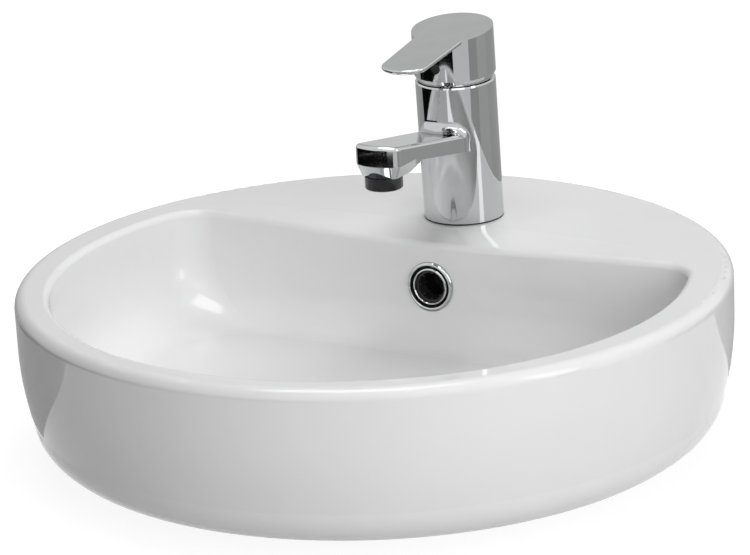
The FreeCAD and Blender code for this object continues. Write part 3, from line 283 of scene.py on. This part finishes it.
def either_shader(tree, share, first, second):
    """The material's surface: the first shader, or by a share the second."""
    mix = tree.nodes.new("ShaderNodeMixShader")
    tree.links.new(share, mix.inputs["Fac"])
    tree.links.new(first.outputs[0], mix.inputs[1])
    tree.links.new(second.outputs[0], mix.inputs[2])
    tree.links.new(mix.outputs[0], tree.nodes["Material Output"].inputs["Surface"])


def floor_material():
    """A pale floor that the camera and the gloss see white, with the object's shadow still on it."""
    material, tree, surface, _ = shader("pale_floor")
    surface.inputs["Base Color"].default_value = (FLOOR_BOUNCE, FLOOR_BOUNCE, FLOOR_BOUNCE, 1)
    surface.inputs["Roughness"].default_value = 0.9
    surface.inputs["Specular IOR Level"].default_value = 0.0
    shade = tree.nodes.new("ShaderNodeBsdfDiffuse")
    shade.inputs["Color"].default_value = (FLOOR_SHADE, FLOOR_SHADE, FLOOR_SHADE, 1)
    glow = tree.nodes.new("ShaderNodeEmission")
    glow.inputs["Strength"].default_value = FLOOR_GLOW
    seen = tree.nodes.new("ShaderNodeAddShader")
    tree.links.new(shade.outputs[0], seen.inputs[0])
    tree.links.new(glow.outputs[0], seen.inputs[1])
    either_shader(tree, plain_rays(tree), surface, seen)
    return material


def white_world():
    """White for the camera, gloss and clear paths, and an even soft light for the rest."""
    world = bpy.data.worlds.new("studio")
    world.use_nodes = True
    tree = world.node_tree
    level = tree.nodes.new("ShaderNodeMapRange")
    level.inputs["To Min"].default_value = AMBIENT
    level.inputs["To Max"].default_value = 1.0
    tree.links.new(plain_rays(tree), level.inputs["Value"])
    background = tree.nodes["Background"]
    background.inputs["Color"].default_value = (1, 1, 1, 1)
    tree.links.new(level.outputs["Result"], background.inputs["Strength"])
    scene.world = world


def way_to(azimuth, elevation):
    """The direction from the basin at an azimuth, from the front towards +X, and an elevation."""
    return Vector((math.sin(azimuth) * math.cos(elevation), -math.cos(azimuth) * math.cos(elevation),
                   math.sin(elevation)))


def softbox(name, azimuth, elevation, width, height, radiance, mirrored=True):
    """A rectangular soft light that faces the basin, mirrored in glossy surfaces or not."""
    lamp = bpy.data.lights.new(name, "AREA")
    lamp.shape = "RECTANGLE"
    lamp.size = width
    lamp.size_y = height
    lamp.energy = math.pi * width * height * radiance
    piece = bpy.data.objects.new(name, lamp)
    piece.location = AIM + way_to(math.radians(azimuth), math.radians(elevation)) * LIGHT_DISTANCE
    piece.rotation_euler = (AIM - piece.location).to_track_quat("-Z", "Y").to_euler()
    piece.visible_camera = False
    piece.visible_glossy = mirrored
    scene.collection.objects.link(piece)


stage_plane("floor", [(-FLOOR_REACH, -FLOOR_REACH, 0), (FLOOR_REACH, -FLOOR_REACH, 0),
                      (FLOOR_REACH, FLOOR_REACH, 0), (-FLOOR_REACH, FLOOR_REACH, 0)], floor_material())
white_world()

# Each with its azimuth, elevation, width, height and radiance
softbox("key", 50, 15, 1.2, 1.0, 4.9, mirrored=False)
softbox("top", 0, 85, 1.2, 1.0, 3.6)
softbox("back", 180, 50, 1.2, 1.0, 3.9, mirrored=False)
softbox("front", 28, 48, 1.5, 0.5, 1.2)
softbox("strip", 84, 25, 0.5, 1.2, 3.0)


# Cards around the basin that only reflections see, as the black and grey flags of a studio table

CARD_CLEARANCE = 0.36
CARD_HEIGHT = 0.003
CARD_STEPS = 16
NEAR_RING = (0.31, 0.65)
MIDDLE_RING = (0.65, 1.7)
FAR_RING = (1.7, 5.0)
OUTER_RING = (0.65, 5.0)
WHOLE_RING = (0.235, 5.0)
BLACK = 0.004
PALE = 0.75


def card_material(name, level, clearance):
    """One brightness, clear from nearby, so that the tap reflects the card and the basin's wall the floor."""
    material, tree, _, _ = shader(name)
    clear = tree.nodes.new("ShaderNodeBsdfTransparent")
    glow = tree.nodes.new("ShaderNodeEmission")
    glow.inputs["Strength"].default_value = level
    path = tree.nodes.new("ShaderNodeLightPath")
    far_off = math_node(tree, "GREATER_THAN", path.outputs["Ray Length"], clearance)
    either_shader(tree, far_off, clear, glow)
    return material


def card(name, corners, level, clearance=CARD_CLEARANCE):
    """A flat card of one brightness that only reflections see."""
    piece = stage_plane(name, corners, card_material(name, level, clearance))
    piece.visible_camera = False
    piece.visible_diffuse = False
    piece.visible_shadow = False
    piece.visible_transmission = False


def ring_card(name, azimuths, reach, level, clearance=CARD_CLEARANCE, height=CARD_HEIGHT):
    """A card on the floor, between two azimuths and two distances from the basin's centre."""
    near, far = reach
    first, last = azimuths
    turns = [math.radians(first + (last - first) * step / CARD_STEPS) for step in range(CARD_STEPS + 1)]
    inner = [(math.sin(turn) * near, -math.cos(turn) * near, height) for turn in turns]
    outer = [(math.sin(turn) * far, -math.cos(turn) * far, height) for turn in turns]
    card(name, inner + outer[::-1], level, clearance)


def wall_card(name, azimuths, distance, heights, level):
    """An upright flat card between two azimuths and two heights."""
    low, high = heights
    ends = [math.radians(azimuth) for azimuth in azimuths]
    (x0, y0), (x1, y1) = [(math.sin(turn) * distance, -math.cos(turn) * distance) for turn in ends]
    card(name, [(x0, y0, low), (x1, y1, low), (x1, y1, high), (x0, y0, high)], level)


ring_card("dark_near", (-95, 30), NEAR_RING, BLACK)
ring_card("light_near", (30, 79), NEAR_RING, PALE)
ring_card("dark_left", (-95, -15), MIDDLE_RING, BLACK)
ring_card("light_left", (-95, -15), FAR_RING, 0.72)
ring_card("dark_front", (-15, 12), OUTER_RING, BLACK)
ring_card("light_front", (12, 79), OUTER_RING, PALE)
ring_card("shade_right", (79, 104), WHOLE_RING, 0.38)
ring_card("grey_right", (104, 135), WHOLE_RING, 0.48)
ring_card("grey_behind", (135, 300), WHOLE_RING, 0.44, clearance=0.0, height=0.002)
wall_card("grey_back", (165, 255), 4.0, (0, 5), 0.66)


# The photograph's camera: lens in pixels and millimetres, angles, and places in metres

PHOTO_WIDTH = 750
FOCAL_PIXELS = 2981.465
SENSOR_WIDTH = 36
VIEW_REACH = 100
DISTANCE = 1.861235
ELEVATION = math.radians(20.297)
ROLL = math.radians(-2.832)
AZIMUTH = math.radians(29.6)
SHIFT_RIGHT = 0.000899
SHIFT_UP = 0.085195
BASE_LIFT = Vector((0, 0, 0.0148))


def photo_camera():
    """The camera that the photograph was taken with, fitted to the basin's and the tap's outline."""
    back = way_to(AZIMUTH, ELEVATION)
    right = Vector((math.cos(AZIMUTH), math.sin(AZIMUTH), 0))
    up = back.cross(right)
    eye = back * DISTANCE + BASE_LIFT
    target = right * SHIFT_RIGHT + up * SHIFT_UP + BASE_LIFT
    ahead = (target - eye).normalized()
    level = ahead.cross(Vector((0, 0, 1))).normalized()
    above = level.cross(ahead)
    side = level * math.cos(ROLL) + above * math.sin(ROLL)
    above = above * math.cos(ROLL) - level * math.sin(ROLL)
    lens = bpy.data.cameras.new("camera")
    lens.sensor_fit = "HORIZONTAL"
    lens.sensor_width = SENSOR_WIDTH
    lens.lens = FOCAL_PIXELS / PHOTO_WIDTH * lens.sensor_width
    lens.clip_end = VIEW_REACH
    piece = bpy.data.objects.new("camera", lens)
    scene.collection.objects.link(piece)
    rows = Matrix((side, above, -ahead)).transposed().to_4x4()
    piece.matrix_world = Matrix.Translation(eye) @ rows
    scene.camera = piece


photo_camera()
